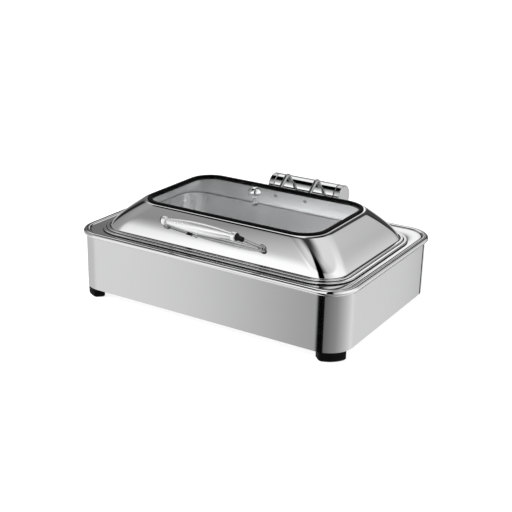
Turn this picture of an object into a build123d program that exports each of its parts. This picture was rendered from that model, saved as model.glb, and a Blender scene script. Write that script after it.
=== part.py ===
from build123d import *
import os
from math import hypot

os.makedirs("parts", exist_ok=True)

# All lengths are millimetres. The model is laid out with the casing's centre at x = y = 0 and the
# floor at z = 0, +X to the right, +Y to the back, and is moved along Y when it is written, so that
# the origin ends up under the middle of the whole object.

# Shared sheet, clearances and cutting
sheet = 1.0
seat_gap = 0.05
running_gap = 0.06
free_gap = 0.6
overrun = 3.0

# Proportions shared by small pieces
head_fillet_share = 0.6
slot_width_share = 0.3
flute_start_share = 0.25
well_room_share = 0.3
wire_bend_share = 0.5

# Casing and base: the deck leaves these widths beside the pan's rim
deck_end = 21.0
deck_front = 22.0
deck_rear = 37.0
casing_corner = 48.5
casing_height = 104.7
casing_flange = 30.0
base_screw_share = 0.3

# Feet
foot_height = 18.0
foot_inset = 3.5
foot_depth = 21.5
foot_diagonal = 45.0
foot_front_angle = 46.0
foot_side_angle = 29.0
foot_rounding = 4.0
foot_chamfer = 2.6
rear_foot_inset = 30.0
foot_screw_radius = 2.0
foot_screw_head_radius = 4.0
foot_screw_recess = 7.0

# Deck with its rolled lip
lip_width = 13.8
lip_height = 10.4
lip_overhang = 5.8
deck_drop = 2.6
deck_collar = 7.0
deck_skirt = 11.0

# Pans: the food pan has the standard full-size rim
pan_length = 530.0
pan_width = 325.0
pan_rim_corner = 60.0
pan_rim = 12.0
pan_sheet = 0.7
pan_gap = 2.5
pan_draft = 6.0
pan_floor_radius = 10.0
food_pan_depth = 65.0
water_pan_depth = 88.0

# Lid shell: slopes rise from a stepped flange to a flat crown
lid_end_room = 2.5
lid_side_room = 3.85
lid_corner = 49.0
lid_wall = 1.0
lid_rise = 54.4
crown_end_run = 54.9
crown_side_run = 32.45
crown_corner = 54.0
ledge_width = 8.0
ledge_step = 2.2
ledge_rounding = 1.2
flange_width = 15.6
flange_height = 5.0
flange_rounding = 1.6
lid_rise_shares = (0.0, 0.25, 0.5, 0.75, 1.0)
lid_run_shares = (0.0, 0.154, 0.392, 0.678, 1.0)
lid_inset_share = 0.7

# Window
window_inset = 9.55
gasket_width = 8.0
gasket_web = 1.5
gasket_lip = 3.0
gasket_rounding = 2.2
glass_thickness = 4.0

# Ball knob on the glass
ball_width = 27.0
ball_height = 22.5
ball_side_radius = 9.5
ball_lift = 21.0
knob_neck_radius = 3.7
knob_base_radius = 5.6
knob_base_height = 2.0
washer_radius = 6.2
washer_thickness = 1.0
knob_screw_radius = 2.5
knob_screw_head_radius = 5.0
knob_screw_head_height = 3.0
knob_screw_depth = 9.0

# Handle on the front slope
handle_half_length = 78.0
grip_radius = 10.5
grip_neck_radius = 5.3
collar_radius = 8.2
collar_length = 9.0
collar_rounding = 1.6
ferrule_radius = 4.7
ferrule_length = 17.0
ferrule_groove = 0.9
ferrule_groove_width = 2.0
ferrule_groove_at = 11.0
ferrule_disc_radius = 7.0
ferrule_disc_thickness = 2.4
leg_radius = 2.75
leg_root = 2.0
leg_spread = 103.0
handle_standoff = 55.0
eyelet_radius = 6.3
eyelet_thickness = 4.6
bolt_radius = 2.0
bolt_head_radius = 4.0
bolt_head_height = 2.5
bolt_depth = 9.0
bolt_seat_gap = 0.15

# Hinge behind the lid
hinge_overhang = 14.0
hinge_z = 162.0
barrel_radius = 24.8
barrel_wall = 2.0
barrel_half_length = 68.2
stand_head_length = 14.5
stand_head_rounding = 2.6
stand_foot_length = 32.0
stand_clearance = 3.95
stand_foot_width = 18.8
stand_foot_thickness = 3.0
stand_web_rise = 3.5
stand_screw_inset = 4.6
stand_screw_radius = 2.0
stand_screw_head_radius = 3.6
stand_screw_head_height = 2.2
stand_nut_radius = 4.0
stand_nut_height = 3.2
hinge_shaft_radius = 6.0
hinge_shaft_end = 4.0
hinge_bush_length = 12.0
damper_half_length = 22.0
damper_cavity_radius = 16.0
damper_cheek = 3.0
rotor_radius = 11.0
rotor_vane_thickness = 4.0
arm_x = 34.0
arm_radius = 4.0
arm_bend = 9.0
arm_corner_front = 28.5
arm_corner_up = 37.0
arm_reach_in = 4.3
arm_pad_radius = 11.0
arm_pad_thickness = 3.0

# Heating element under the water pan
element_radius = 4.0
element_half_length = 195.0
element_half_width = 85.0
element_inner = 70.0
element_dip = 30.0
element_terminal = 25.0
element_tail = 33.0
element_bend = 22.0
clip_length = 14.0
clip_wall = 2.0
clip_x_shares = (0.55, 0.68)
cutout_radius = 8.0
cutout_height = 8.0
cutout_flange_radius = 11.5
cutout_flange_height = 1.5
cutout_y = -30.0

# Heat shield
shield_length = 430.0
shield_width = 220.0
shield_corner = 20.0
shield_edge = 4.0
shield_gap = 4.5
spacer_radius = 5.0
spacer_inset = 18.0
shield_screw_radius = 2.0
shield_screw_head_radius = 4.0
shield_screw_head_height = 2.0

# Control plate on the rear wall
control_inset = 136.0
control_height = 52.0
control_room = 1.5
plate_height = 62.0
plate_thickness = 1.2
plate_corner = 4.0
plate_margin = 9.0
plate_screw_inset = 4.8
plate_screw_radius = 1.5
plate_screw_head_radius = 3.0
plate_screw_head_height = 1.8
plate_screw_length = 7.0

# Thermostat
dial_x = -50.0
dial_radius = 18.0
dial_depth = 18.0
dial_rounding = 1.6
dial_flutes = 14
flute_start = 90 + 180 / dial_flutes
dial_flute_radius = 2.2
dial_pointer_width = 1.6
dial_pointer_depth = 0.8
dial_bore_depth = 11.0
thermostat_shaft_radius = 3.0
thermostat_shaft_inside = 12.0
thermostat_length = 34.0
thermostat_depth = 30.0
thermostat_height = 32.0
bulb_radius = 3.0
bulb_length = 70.0
bulb_y = 125.0
capillary_radius = 0.9
capillary_bend = 8.0
capillary_x = -62.0

# Pilot lamp
lamp_x = -14.0
lamp_radius = 4.5
lamp_bezel_radius = 6.0
lamp_bezel_height = 1.5
lamp_dome = 3.0
lamp_depth = 18.0

# Rocker switch
switch_x = 12.0
bezel_length = 16.0
bezel_height = 23.0
bezel_thickness = 2.0
switch_wall = 1.6
switch_depth = 20.0
rocker_length = 9.6
rocker_half_height = 8.6
rocker_thickness = 3.0
rocker_lift = 2.6
rocker_dip = 1.2
rocker_tilt = 9.0
rocker_pivot_depth = 0.5
rocker_well = 6.0
trunnion_radius = 1.0
trunnion_length = 0.9

# Power inlet
inlet_x = 50.0
inlet_flange_end = 7.0
inlet_flange_height = 23.0
inlet_flange_thickness = 2.5
inlet_corner = 3.0
inlet_body_length = 28.0
inlet_body_height = 20.5
inlet_depth = 22.0
inlet_wall = 1.8
inlet_well = 17.0
inlet_pin_width = 4.0
inlet_pin_thickness = 2.0
inlet_pin_reach = 12.0
inlet_pin_tail = 6.0
inlet_pin_pitch = 7.0
inlet_pin_rise = 3.0
inlet_screw_pitch = 36.0

# Terminal block and wiring
block_length = 50.0
block_width = 16.0
block_height = 22.0
block_shift = -15.0
block_setback = 24.0
block_groove = 3.0
wire_radius = 1.2
wire_bend = 5.0
wire_setback = 35.0

# Levels and places worked out from the sizes above
casing_length = pan_length + 2 * deck_end
casing_width = pan_width + deck_front + deck_rear
lid_y = (deck_front - deck_rear) / 2
lid_length = pan_length + 2 * (lid_end_room - flange_width + lid_wall)
lid_width = pan_width + 2 * (lid_side_room - flange_width + lid_wall)
crown_length = lid_length - 2 * crown_end_run
crown_width = lid_width - 2 * crown_side_run
window_length = crown_length - 2 * window_inset
window_width = crown_width - 2 * window_inset
window_corner = crown_corner - window_inset
casing_bottom = foot_height
casing_top = casing_bottom + casing_height
base_bottom = casing_bottom + sheet
base_top = base_bottom + sheet
lip_top = casing_top + lip_height
deck_top = lip_top - deck_drop
water_rim_top = deck_top + pan_sheet
mouth_length = pan_length - 2 * pan_rim
mouth_width = pan_width - 2 * pan_rim
mouth_corner = pan_rim_corner - pan_rim
water_length = mouth_length + 2 * (pan_gap + pan_sheet)
water_width = mouth_width + 2 * (pan_gap + pan_sheet)
water_corner = mouth_corner + pan_gap + pan_sheet
water_floor = water_rim_top - water_pan_depth
lid_foot = deck_top + flange_height
ledge_top = lid_foot - ledge_step
crown_top = lid_foot + lid_rise
gasket_top = crown_top + gasket_lip
glass_bottom = crown_top - glass_thickness
element_z = water_floor - seat_gap - element_radius
shield_top = element_z - element_radius - shield_gap
wall_back = casing_width / 2
hinge_y = wall_back + hinge_overhang
stand_foot_front = lid_y + lid_width / 2 + flange_width + stand_clearance
plate_front = wall_back + plate_thickness
control_x = casing_length / 2 - control_inset
control_z = casing_bottom + control_height
control_opening = 2 * (inlet_x + inlet_screw_pitch / 2 + plate_screw_radius + control_room)
plate_length = control_opening + 2 * plate_margin
inlet_flange_length = inlet_screw_pitch + 2 * inlet_flange_end
block_x = control_x + block_shift
block_y = wall_back - block_setback
wire_lane = wall_back - wire_setback
slope_mid_share = lid_rise_shares[2]
slope_mid_run_share = lid_run_shares[2]
slope_mid_z = lid_foot + lid_rise * slope_mid_share
slope_run_y = (lid_width - crown_width) / 2
slope_mid_y = lid_width / 2 - slope_run_y * slope_mid_run_share
slope_step_y = slope_run_y * (lid_run_shares[3] - lid_run_shares[1])
slope_step_z = lid_rise * (lid_rise_shares[3] - lid_rise_shares[1])
slope_normal_y = slope_step_z / hypot(slope_step_y, slope_step_z)
slope_normal_z = slope_step_y / hypot(slope_step_y, slope_step_z)
front_mid = Vector(0, lid_y - slope_mid_y, slope_mid_z)
rear_mid = Vector(0, lid_y + slope_mid_y, slope_mid_z)
front_normal = Vector(0, -slope_normal_y, slope_normal_z)
rear_normal = Vector(0, slope_normal_y, slope_normal_z)
grip_centre = front_mid + front_normal * handle_standoff
origin_y = (hinge_y + barrel_radius + grip_centre.Y - grip_radius) / 2


# Shared shapes

def save(name, *shapes):
    """Write one node, moved so that the origin lies under the middle of the object."""
    solids = [Pos(0, -origin_y, 0) * solid for shape in shapes for solid in shape.solids()]
    export_step(solids[0] if len(solids) == 1 else Compound(solids), f"parts/{name}.step")


def slab(length, width, corner, bottom, height, y=0):
    """Plate with rounded corners, standing on the level called bottom."""
    return Pos(0, y, bottom) * extrude(RectangleRounded(length, width, corner), height)


def rod(start, direction, radius, length):
    """Round rod from a point along a direction."""
    return Plane(start, z_dir=direction) * extrude(Circle(radius), length)


def tube_along(points, bend, radius):
    """Round rod bent along straight runs joined by arcs."""
    path = FilletPolyline(*points, radius=bend) if len(points) > 2 else Line(*points)
    return sweep(Plane(path @ 0, z_dir=path % 0) * Circle(radius), path=path)


def screw(place, shank_radius, shank_length, head_radius, head_height):
    """Round-headed screw: the head stands on the place's plane, the shank goes below it."""
    head = extrude(Circle(head_radius), head_height)
    head = fillet(head.edges().group_by(Axis.Z)[-1], head_height * head_fillet_share)
    slot_width = head_radius * slot_width_share
    slot = Pos(0, 0, head_height) * Box(2 * head_radius, slot_width, head_height)
    shank = Pos(0, 0, -shank_length) * extrude(Circle(shank_radius), shank_length)
    return place * (head - slot + shank)


def facing_back(x, y, z):
    """Plane on the rear wall whose normal points backwards and whose x runs to the right."""
    return Plane((x, y, z), x_dir=(-1, 0, 0), z_dir=(0, 1, 0))


def block_behind(x, depth, length, height, corner, start=wall_back):
    """Rounded block that goes forward from the back face of the control plate."""
    face = facing_back(control_x + x, start, control_z)
    return face * extrude(RectangleRounded(length, height, corner), -depth)


# Places shared by fasteners and the plates that they pass through

def foot_location(sx, sy):
    """Centre of the arc that a foot follows; the rear feet stand further in, on the base plate."""
    inset = casing_corner + (rear_foot_inset if sy > 0 else 0)
    return Pos(sx * (casing_length / 2 - inset), sy * (casing_width / 2 - inset), 0)


def foot_screw_place(sx, sy):
    reach = casing_corner - foot_inset - foot_depth / 2
    middle = foot_diagonal + (foot_front_angle - foot_side_angle) / 2
    offset = (Rot(0, 0, middle) * Pos(reach, 0, 0)).position
    return foot_location(sx, sy).position + Vector(sx * offset.X, sy * offset.Y, 0)


def foot_screw_places():
    return [foot_screw_place(sx, sy) for sx in (-1, 1) for sy in (-1, 1)]


def base_screw_places():
    side_x = casing_length / 2 - casing_flange / 2
    side_y = casing_width / 2 - casing_flange / 2
    along_x = casing_length * base_screw_share
    long_sides = [Vector(sx * along_x, sy * side_y, 0) for sx in (-1, 1) for sy in (-1, 1)]
    return long_sides + [Vector(sx * side_x, 0, 0) for sx in (-1, 1)]


def shield_screw_places():
    x = shield_length / 2 - spacer_inset
    y = shield_width / 2 - spacer_inset
    return [Vector(sx * x, lid_y + sy * y, 0) for sx in (-1, 1) for sy in (-1, 1)]


def plate_screw_places():
    x = plate_length / 2 - plate_screw_inset
    z = plate_height / 2 - plate_screw_inset
    return [(control_x + sx * x, control_z + sz * z) for sx in (-1, 1) for sz in (-1, 1)]


def stand_screw_places():
    middle = barrel_half_length + free_gap + stand_head_length / 2
    offset = stand_foot_length / 2 - stand_screw_inset
    y = stand_foot_front + stand_foot_width / 2
    return [Vector(sx * (middle + so * offset), y, 0) for sx in (-1, 1) for so in (-1, 1)]


def holes(places, radius, bottom, height):
    """Upright hole cutters at a list of places."""
    return [Pos(p.X, p.Y, bottom) * extrude(Circle(radius), height) for p in places]


# Casing: one bent and welded sheet, open at the top, with a flange turned in at the bottom

def make_outer_casing():
    casing = slab(casing_length, casing_width, casing_corner, casing_bottom, casing_height)
    casing -= slab(
        casing_length - 2 * sheet, casing_width - 2 * sheet, casing_corner - sheet,
        base_bottom, casing_height,
    )
    casing -= slab(
        casing_length - 2 * casing_flange, casing_width - 2 * casing_flange,
        casing_corner - casing_flange, casing_bottom - overrun, 2 * overrun,
    )
    casing -= block_behind(
        0, sheet + overrun, control_opening, plate_height - 2 * plate_margin,
        plate_corner, wall_back + overrun / 2,
    )
    flange_places = [place for place in foot_screw_places() if place.Y < 0] + base_screw_places()
    casing -= holes(flange_places, foot_screw_radius + seat_gap, casing_bottom - overrun, 2 * overrun)
    for x, z in plate_screw_places():
        hole = facing_back(x, wall_back + overrun, z) * Circle(plate_screw_radius + seat_gap)
        casing -= extrude(hole, -2 * overrun)
    return casing


def make_base_plate():
    inset = sheet + seat_gap
    plate = slab(
        casing_length - 2 * inset, casing_width - 2 * inset, casing_corner - inset, base_bottom, sheet
    )
    for places, radius in (
        (foot_screw_places(), foot_screw_radius), (base_screw_places(), foot_screw_radius),
        (shield_screw_places(), shield_screw_radius),
    ):
        plate -= holes(places, radius + seat_gap, base_bottom - overrun, 3 * overrun)
    return plate


def make_base_screws():
    length = 2 * sheet + 2 * foot_screw_radius
    return [
        screw(
            Plane((p.X, p.Y, casing_bottom), z_dir=(0, 0, -1)), foot_screw_radius, length,
            foot_screw_head_radius, foot_screw_radius,
        )
        for p in base_screw_places()
    ]


# Feet: moulded pads that follow the casing's corners, each held by one screw from below

def make_foot(sx, sy):
    height = base_bottom if sy > 0 else casing_bottom
    outer = casing_corner - foot_inset
    profile = Pos(outer - foot_depth / 2, height / 2, 0) * Rectangle(foot_depth, height)
    pad = revolve(Plane.XZ * profile, Axis.Z, foot_front_angle + foot_side_angle)
    pad = fillet(pad.edges().filter_by(Axis.Z), foot_rounding)
    pad = chamfer(pad.edges().group_by(Axis.Z)[0], foot_chamfer)
    pad = Rot(0, 0, foot_diagonal - foot_side_angle) * pad
    if sx < 0:
        pad = mirror(pad, Plane.YZ)
    if sy < 0:
        pad = mirror(pad, Plane.XZ)
    pad = foot_location(sx, sy) * pad
    place = foot_screw_place(sx, sy)
    pad -= holes([place], foot_screw_radius + seat_gap, -overrun, height + 2 * overrun)
    return pad - holes([place], foot_screw_head_radius + seat_gap, -overrun, foot_screw_recess + overrun)


def make_foot_screws():
    length = foot_height - foot_screw_recess + 2 * sheet + 2 * foot_screw_radius
    return [
        screw(
            Plane((p.X, p.Y, foot_screw_recess), z_dir=(0, 0, -1)), foot_screw_radius, length,
            foot_screw_head_radius, foot_screw_radius,
        )
        for p in foot_screw_places()
    ]


# Deck: a pressed frame whose edge is rolled into a lip over the casing's top edge

def make_deck_frame():
    inset = lip_width / 2 - lip_overhang
    path = RectangleRounded(
        casing_length - 2 * inset, casing_width - 2 * inset, casing_corner - inset
    ).wire()
    path = Pos(0, 0, casing_top + lip_height / 2) * path
    section = SlotOverall(lip_width, lip_height)
    section -= SlotOverall(lip_width - 2 * sheet, lip_height - 2 * sheet)
    straight = (lip_width - lip_height) / 2
    section -= Pos(-straight - lip_width / 2, -lip_height / 2) * Rectangle(lip_width, lip_height)
    up = Vector(0, 0, 1)
    outward = (path % 0).cross(up)
    if outward.dot(path @ 0) < 0:
        outward = outward * -1
    profile = Plane(path @ 0, x_dir=outward, z_dir=outward.cross(up)) * section
    lip = sweep(profile, path=path)
    edge = lip_width - lip_overhang - sheet
    deck = slab(
        casing_length - 2 * edge, casing_width - 2 * edge, casing_corner - edge, deck_top - sheet, sheet
    )
    wall = sheet + seat_gap
    skirt = slab(
        casing_length - 2 * wall, casing_width - 2 * wall, casing_corner - wall,
        casing_top - deck_skirt, deck_skirt + sheet / 2,
    )
    wall += sheet
    skirt -= slab(
        casing_length - 2 * wall, casing_width - 2 * wall, casing_corner - wall,
        casing_top - 2 * deck_skirt, 3 * deck_skirt,
    )
    room = pan_gap / 2
    collar = slab(
        water_length + 2 * (room + sheet), water_width + 2 * (room + sheet), water_corner + room + sheet,
        deck_top - deck_collar, deck_collar, lid_y,
    )
    opening = slab(
        water_length + 2 * room, water_width + 2 * room, water_corner + room,
        deck_top - deck_collar - overrun, deck_collar + 2 * overrun, lid_y,
    )
    frame = lip + deck + skirt + collar - opening
    frame -= holes(stand_screw_places(), stand_screw_radius + seat_gap, deck_top - overrun, 2 * overrun)
    return frame


# Pans: drawn trays that hang by their rims, one in the other

def make_pan(length, width, corner, depth, rim_bottom):
    top = rim_bottom + pan_sheet
    rim = slab(pan_length, pan_width, pan_rim_corner, rim_bottom, pan_sheet, lid_y)

    def body(inset, bottom, floor_radius):
        mouth = RectangleRounded(length - 2 * inset, width - 2 * inset, corner - inset)
        less = inset + pan_draft
        floor = RectangleRounded(length - 2 * less, width - 2 * less, corner - less)
        solid = loft([Pos(0, lid_y, bottom) * floor, Pos(0, lid_y, top) * mouth], ruled=True)
        return fillet(solid.edges().group_by(Axis.Z)[0], floor_radius)

    outside = body(0, top - depth, pan_floor_radius)
    inside = body(pan_sheet, top - depth + pan_sheet, pan_floor_radius - pan_sheet)
    return rim + outside - inside


# Lid: one drawn dome with a flat crown, a window opening and a stepped flange

def lid_loft(inset, bottom, top):
    sections = []
    for rise_share, run_share in zip(lid_rise_shares, lid_run_shares):
        length = lid_length + (crown_length - lid_length) * run_share - 2 * inset
        width = lid_width + (crown_width - lid_width) * run_share - 2 * inset
        corner = lid_corner + (crown_corner - lid_corner) * run_share - inset
        z = bottom + (top - bottom) * rise_share
        sections.append(Pos(0, lid_y, z) * RectangleRounded(length, width, corner))
    return loft(sections)


def flange_slab(reach, bottom, top):
    return slab(
        lid_length + 2 * reach, lid_width + 2 * reach, lid_corner + reach, bottom, top - bottom, lid_y
    )


def window_slab(grow, bottom, height):
    return slab(
        window_length + 2 * grow, window_width + 2 * grow, window_corner + grow, bottom, height, lid_y
    )


def lid_bolt_axes():
    """Points on the lid's slopes, and outward normals, where the handle and the arms are bolted."""
    front = [(front_mid + Vector(sx * leg_spread, 0, 0), front_normal) for sx in (-1, 1)]
    rear = [(rear_mid + Vector(sx * arm_x, 0, 0), rear_normal) for sx in (-1, 1)]
    return front, rear


def make_lid_shell():
    ledge = flange_slab(ledge_width, deck_top, lid_foot)
    ledge = fillet(ledge.edges().group_by(Axis.Z)[-1], ledge_rounding)
    flange = flange_slab(flange_width, deck_top, ledge_top)
    flange = fillet(flange.edges().group_by(Axis.Z)[-1], flange_rounding)
    shell = flange + ledge + lid_loft(0, lid_foot, crown_top)
    shell -= flange_slab(flange_width - lid_wall, deck_top - overrun, ledge_top - lid_wall)
    shell -= flange_slab(ledge_width - lid_wall, deck_top - overrun, lid_foot - lid_wall)
    shell -= lid_loft(lid_wall * lid_inset_share, lid_foot - lid_wall, crown_top - lid_wall)
    shell -= window_slab(gasket_web / 2, crown_top - overrun, 2 * overrun)
    front, rear = lid_bolt_axes()
    for point, normal in front + rear:
        shell -= rod(point - normal * overrun, normal, bolt_radius + seat_gap, 2 * overrun)
    return shell


def make_window_glass():
    glass = window_slab(-gasket_web / 2, glass_bottom, glass_thickness)
    hole = knob_screw_radius + seat_gap
    return glass - Pos(0, lid_y, glass_bottom - overrun) * extrude(
        Circle(hole), glass_thickness + 2 * overrun
    )


def make_window_gasket():
    bottom = glass_bottom - gasket_lip
    gasket = window_slab(gasket_width / 2, bottom, gasket_top - bottom)
    gasket -= window_slab(-gasket_width / 2, bottom - overrun, gasket_top - bottom + 2 * overrun)
    gasket = fillet(gasket.edges().group_by(Axis.Z)[-1], gasket_rounding)
    gasket = fillet(gasket.edges().group_by(Axis.Z)[0], gasket_rounding / 2)
    slot = 2 * seat_gap
    gasket -= window_slab(
        seat_gap - gasket_web / 2, glass_bottom - seat_gap, glass_thickness + slot
    )
    outer = window_slab(gasket_width, crown_top - lid_wall - seat_gap, lid_wall + slot)
    outer -= window_slab(gasket_web / 2 - seat_gap, bottom, gasket_top - bottom)
    return gasket - outer


# Ball knob: a turned ball on a neck, held through the glass by a screw and two washers

def make_knob_ball():
    half_height = ball_height / 2
    side = Vector(ball_width / 2 - ball_side_radius, 0, 0)
    top_radius = (side.X**2 + half_height**2 - ball_side_radius**2) / (2 * (half_height - ball_side_radius))
    top_centre = Vector(0, half_height - top_radius, 0)
    join = top_centre + (side - top_centre).normalized() * top_radius
    below = (join.X, -join.Y)
    profile = make_face([
        TangentArc((0, half_height), join, tangent=(1, 0)),
        ThreePointArc(join, (ball_width / 2, 0), below),
        TangentArc((0, -half_height), below, tangent=(1, 0)),
        Line((0, -half_height), (0, half_height)),
    ])
    neck = ball_lift - washer_thickness
    base = extrude(Circle(knob_base_radius), knob_base_height)
    base = fillet(base.edges().group_by(Axis.Z)[-1], knob_base_height * head_fillet_share)
    post = base + extrude(Circle(knob_neck_radius), neck)
    knob = Pos(0, 0, neck) * revolve(Plane.XZ * profile, Axis.Z) + post
    knob -= extrude(Circle(knob_screw_radius + seat_gap), knob_screw_depth + seat_gap)
    return Pos(0, lid_y, crown_top + washer_thickness) * knob


def make_knob_washers():
    disc = extrude(Circle(washer_radius) - Circle(knob_screw_radius + seat_gap), washer_thickness)
    return [Pos(0, lid_y, z) * disc for z in (crown_top, glass_bottom - washer_thickness)]


def make_knob_screw():
    place = Plane((0, lid_y, glass_bottom - washer_thickness), z_dir=(0, 0, -1))
    length = glass_thickness + 2 * washer_thickness + knob_screw_depth
    return screw(place, knob_screw_radius, length, knob_screw_head_radius, knob_screw_head_height)


# Handle: a turned spindle between black ferrules, carried by two bent rods

def make_handle_grip():
    waist = handle_half_length - collar_length
    outline = [
        ThreePointArc((-waist, grip_neck_radius), (0, grip_radius), (waist, grip_neck_radius)),
        Line((waist, grip_neck_radius), (waist, 0)),
        Line((waist, 0), (-waist, 0)),
        Line((-waist, 0), (-waist, grip_neck_radius)),
    ]
    grip = revolve(make_face(outline), Axis.X)
    collar = extrude(Plane.YZ * Circle(collar_radius), collar_length)
    collar = fillet(collar.edges(), collar_rounding)
    grip += Pos(waist, 0, 0) * collar
    grip += Pos(-handle_half_length, 0, 0) * collar
    return Pos(*grip_centre) * grip


def leg_ends(side):
    """Where a leg leaves the grip's end collar, and where its eyelet stands on the lid."""
    root = grip_centre + Vector(side * (handle_half_length - leg_root), 0, 0)
    foot = front_mid + front_normal * seat_gap + Vector(side * leg_spread, 0, 0)
    return root, foot


def outside_collar(shape, side):
    """The part of a shape beyond the end face of the grip's collar."""
    room = 2 * handle_standoff
    middle = grip_centre + Vector(side * (handle_half_length + seat_gap + room / 2), 0, 0)
    return shape & Pos(*middle) * Box(room, 2 * room, 2 * room)


def make_ferrule(side):
    root, foot = leg_ends(side)
    along = (foot - root).normalized()
    sleeve = rod(root, along, ferrule_radius, ferrule_length)
    sleeve = fillet(sleeve.edges(), ferrule_groove)
    ring = Circle(ferrule_radius + overrun) - Circle(ferrule_radius - ferrule_groove)
    sleeve -= Plane(root + along * ferrule_groove_at, z_dir=along) * extrude(ring, ferrule_groove_width)
    face = grip_centre + Vector(side * handle_half_length, 0, 0)
    disc = rod(face, Vector(side, 0, 0), ferrule_disc_radius, ferrule_disc_thickness)
    ferrule = outside_collar(sleeve + fillet(disc.edges(), ferrule_groove), side)
    return ferrule - rod(root, along, leg_radius + seat_gap, 2 * handle_standoff)


def make_handle_leg(side):
    root, foot = leg_ends(side)
    end = foot + front_normal * (eyelet_thickness / 2)
    leg = outside_collar(rod(root, foot - root, leg_radius, (end - root).length), side)
    eyelet = rod(foot, front_normal, eyelet_radius, eyelet_thickness)
    leg += fillet(eyelet.edges(), eyelet_thickness / 4)
    return leg - rod(foot, front_normal, bolt_radius + seat_gap, eyelet_thickness - sheet + seat_gap)


def lid_bolt(point, normal, grip_length):
    """Bolt from inside the lid, through a slope and into what is fixed on it."""
    wall = lid_wall * (lid_inset_share * slope_normal_y + slope_normal_z) + bolt_seat_gap
    under_head = point - normal * wall
    length = wall + grip_length
    place = Plane(under_head, z_dir=normal * -1)
    return screw(place, bolt_radius, length, bolt_head_radius, bolt_head_height)


# Hinge: fixed stands and shaft, with a barrel that turns on bushes and carries the lid's arms

def hinge_disc(radius, start, length):
    return Pos(start, hinge_y, hinge_z) * extrude(Plane.YZ * Circle(radius), length)


def make_hinge_stand(side):
    inner = barrel_half_length + free_gap
    head = hinge_disc(barrel_radius, inner, stand_head_length)
    head = fillet(head.edges(), stand_head_rounding)
    middle = inner + stand_head_length / 2
    rear = stand_foot_front + stand_foot_width
    web_top = deck_top + stand_foot_thickness + stand_web_rise
    outline = Polyline(
        (stand_foot_front, deck_top), (rear, deck_top), (rear, deck_top + stand_foot_thickness),
        (hinge_y, web_top), (hinge_y, hinge_z), (rear, hinge_z), (stand_foot_front, web_top),
        close=True,
    )
    web_length = stand_head_length - 2 * stand_head_rounding
    web = Pos(middle - web_length / 2, 0, 0) * extrude(Plane.YZ * make_face(outline), web_length)
    foot = Pos(middle, stand_foot_front + stand_foot_width / 2, deck_top) * extrude(
        RectangleRounded(stand_foot_length, stand_foot_width, stand_screw_inset), stand_foot_thickness
    )
    stand = head + web + foot
    stand -= hinge_disc(hinge_shaft_radius + seat_gap, 0, inner + stand_head_length - hinge_shaft_end)
    places = [p for p in stand_screw_places() if p.X > 0]
    through = stand_foot_thickness + 2 * overrun
    stand -= holes(places, stand_screw_radius + seat_gap, deck_top - overrun, through)
    return stand if side > 0 else mirror(stand, Plane.YZ)


def make_stand_screws():
    top = deck_top + stand_foot_thickness
    length = stand_foot_thickness + sheet + stand_nut_height
    return [
        screw(
            Plane((p.X, p.Y, top)), stand_screw_radius, length,
            stand_screw_head_radius, stand_screw_head_height,
        )
        for p in stand_screw_places()
    ]


def make_stand_nuts():
    nut = RegularPolygon(stand_nut_radius, 6) - Circle(stand_screw_radius + seat_gap)
    bottom = deck_top - sheet - stand_nut_height
    return [Pos(p.X, p.Y, bottom) * extrude(nut, stand_nut_height) for p in stand_screw_places()]


def make_hinge_shaft():
    end = barrel_half_length + free_gap + stand_head_length - hinge_shaft_end - seat_gap
    return hinge_disc(hinge_shaft_radius, -end, 2 * end)


def arm_line():
    """Corner and inner end of an arm's centre line, at the middle plane."""
    axis = Vector(0, hinge_y, hinge_z)
    corner = axis + Vector(0, -arm_corner_front, arm_corner_up)
    towards = (axis - corner).normalized()
    return corner, axis - towards * (barrel_radius - arm_reach_in)


def make_hinge_barrel():
    barrel = hinge_disc(barrel_radius, -barrel_half_length, 2 * barrel_half_length)
    barrel -= hinge_disc(barrel_radius - barrel_wall, -2 * barrel_half_length, 4 * barrel_half_length)
    corner, end = arm_line()
    for side in (-1, 1):
        start = end + Vector(side * arm_x, 0, 0)
        barrel -= rod(start, corner - end, arm_radius + seat_gap, (corner - end).length)
    return barrel


def make_hinge_bush(side):
    start = barrel_half_length - hinge_bush_length
    bush = hinge_disc(barrel_radius - barrel_wall - seat_gap, start, hinge_bush_length)
    bush -= hinge_disc(hinge_shaft_radius + running_gap, start - overrun, hinge_bush_length + 2 * overrun)
    return bush if side > 0 else mirror(bush, Plane.YZ)


def make_damper_housing():
    length = 2 * damper_half_length
    housing = hinge_disc(barrel_radius - barrel_wall - seat_gap, -damper_half_length, length)
    cavity = damper_half_length - damper_cheek
    housing -= hinge_disc(damper_cavity_radius, -cavity, 2 * cavity)
    return housing - hinge_disc(hinge_shaft_radius + running_gap, -length, 2 * length)


def make_damper_rotor():
    half = damper_half_length - damper_cheek - free_gap
    rotor = hinge_disc(rotor_radius, -half, 2 * half)
    vane = Box(2 * half, 2 * (damper_cavity_radius - free_gap), rotor_vane_thickness)
    rotor += Pos(0, hinge_y, hinge_z) * vane
    return rotor - hinge_disc(hinge_shaft_radius + seat_gap, -2 * half, 4 * half)


def make_lid_arm(side):
    corner, end = arm_line()
    shift = Vector(side * arm_x, 0, 0)
    foot = rear_mid + rear_normal * seat_gap + shift
    points = [foot + rear_normal * (arm_pad_thickness / 2), corner + shift, end + shift]
    arm = tube_along(points, arm_bend, arm_radius)
    pad = rod(foot, rear_normal, arm_pad_radius, arm_pad_thickness)
    arm += fillet(pad.edges(), arm_pad_thickness / 4)
    return arm - rod(foot, rear_normal, bolt_radius + seat_gap, bolt_depth + seat_gap)


# Heating: a bent tubular element held to the water pan's floor, over a heat shield

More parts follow.
